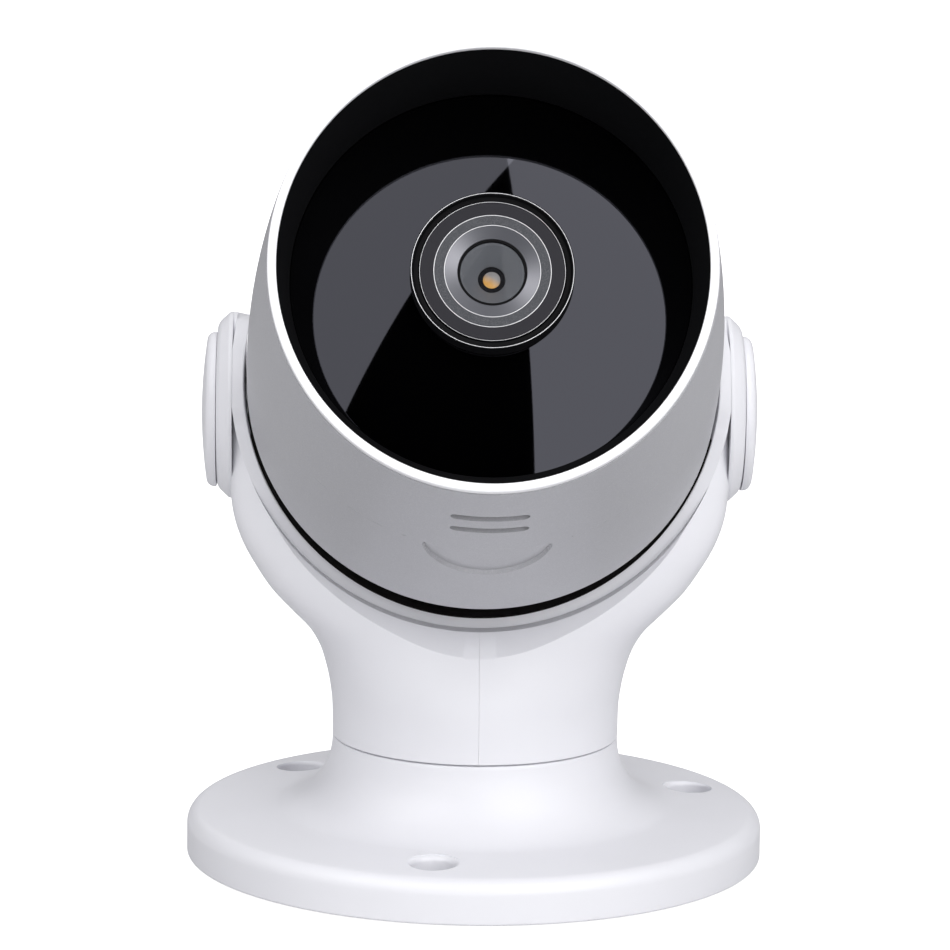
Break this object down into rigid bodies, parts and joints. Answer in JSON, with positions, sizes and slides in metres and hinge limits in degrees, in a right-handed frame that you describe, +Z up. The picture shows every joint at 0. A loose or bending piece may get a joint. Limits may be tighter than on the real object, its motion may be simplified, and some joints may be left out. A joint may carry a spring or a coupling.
{
  "type": "security camera",
  "caption": "Bullet security camera: hooded lens head in a silver sleeve that tilts in a white yoke and turns on a screw-down disc base.",
  "frame": {"origin": "middle of the base's underside, where it meets the wall or table", "axes": "+Z up along the swivel axis, -Y towards the front where the lens looks, +X along the tilt axis"},
  "size_m": [0.09, 0.1203, 0.1333],
  "materials": {
    "white_plastic": "fine satin moulding",
    "silver_paint": "fine metallic silver paint on plastic",
    "bright_trim": "bright white-silver gloss",
    "black_plastic": "matt black",
    "gloss_black": "polished black, passes infrared",
    "clear_glass": "coated glass",
    "filter_glass": "tinted filter glass",
    "dark_metal": "black anodised",
    "steel": "zinc-plated",
    "brass": "plain",
    "rubber": "matt",
    "board_green": "solder-masked glass fibre board",
    "chip_black": "moulded epoxy",
    "grey_mesh": "woven grey mesh"
  },
  "bodies": {
    "base": {"base_plate": "white_plastic", "base_pad": "rubber", "swivel_washer": "steel", "swivel_nut": "steel"},
    "yoke": {"yoke_left": "white_plastic", "yoke_right": "white_plastic", "yoke_liner": "white_plastic", "yoke_dowel": "steel", "yoke_screw": "steel", "lead_grommet": "rubber", "swivel_bush": "brass", "pivot_cap_left": "white_plastic", "pivot_cap_right": "white_plastic", "friction_washer_left": "rubber", "friction_washer_right": "rubber"},
    "head": {"rear_housing": "white_plastic", "silver_shell": "silver_paint", "rim_trim": "bright_trim", "hood_liner": "black_plastic", "inner_chassis": "black_plastic", "lens_retainer": "black_plastic", "lens_barrel": "black_plastic", "filter_housing": "black_plastic", "board_carrier": "black_plastic", "front_window": "gloss_black", "lens_bezel": "gloss_black", "front_element": "clear_glass", "second_element": "clear_glass", "infrared_lamp_left": "clear_glass", "infrared_lamp_right": "clear_glass", "lens_face_ring": "dark_metal", "iris_plate": "dark_metal", "heat_sink": "dark_metal", "pivot_bolt_left": "steel", "pivot_bolt_right": "steel", "case_screw_1": "steel", "case_screw_2": "steel", "case_screw_3": "steel", "board_screw_1": "steel", "board_screw_2": "steel", "wifi_module": "steel", "card_socket": "steel", "microphone": "steel", "pivot_nut_left": "brass", "pivot_nut_right": "brass", "wifi_antenna": "brass", "window_gasket": "rubber", "rear_seal": "rubber", "sensor_board": "board_green", "main_board": "board_green", "lamp_board": "board_green", "reset_board": "board_green", "image_sensor": "chip_black", "processor": "chip_black", "speaker": "chip_black", "reset_switch": "chip_black", "sound_mesh": "grey_mesh"},
    "reset": {"reset_button": "rubber"},
    "night_filter": {"filter_slider": "dark_metal", "ir_cut_glass": "filter_glass"}
  },
  "joints": [
    {"name": "pan", "type": "hinge", "parent": "base", "child": "yoke", "pos_m": [0, 0, 0.0189], "axis": [0, 0, 1], "range_deg": [-170, 170]},
    {"name": "tilt", "type": "hinge", "parent": "yoke", "child": "head", "pos_m": [0, 0, 0.0699], "axis": [-1, 0, 0], "range_deg": [-13, 63]},
    {"name": "reset_press", "type": "slide", "parent": "head", "child": "reset", "axis": [0, -0.891, 0.454], "range_m": [0, 0.0006], "stiffness_N_per_m": 300},
    {"name": "filter_switch", "type": "slide", "parent": "head", "child": "night_filter", "axis": [1, 0, 0], "range_m": [0, 0.007]}
  ]
}
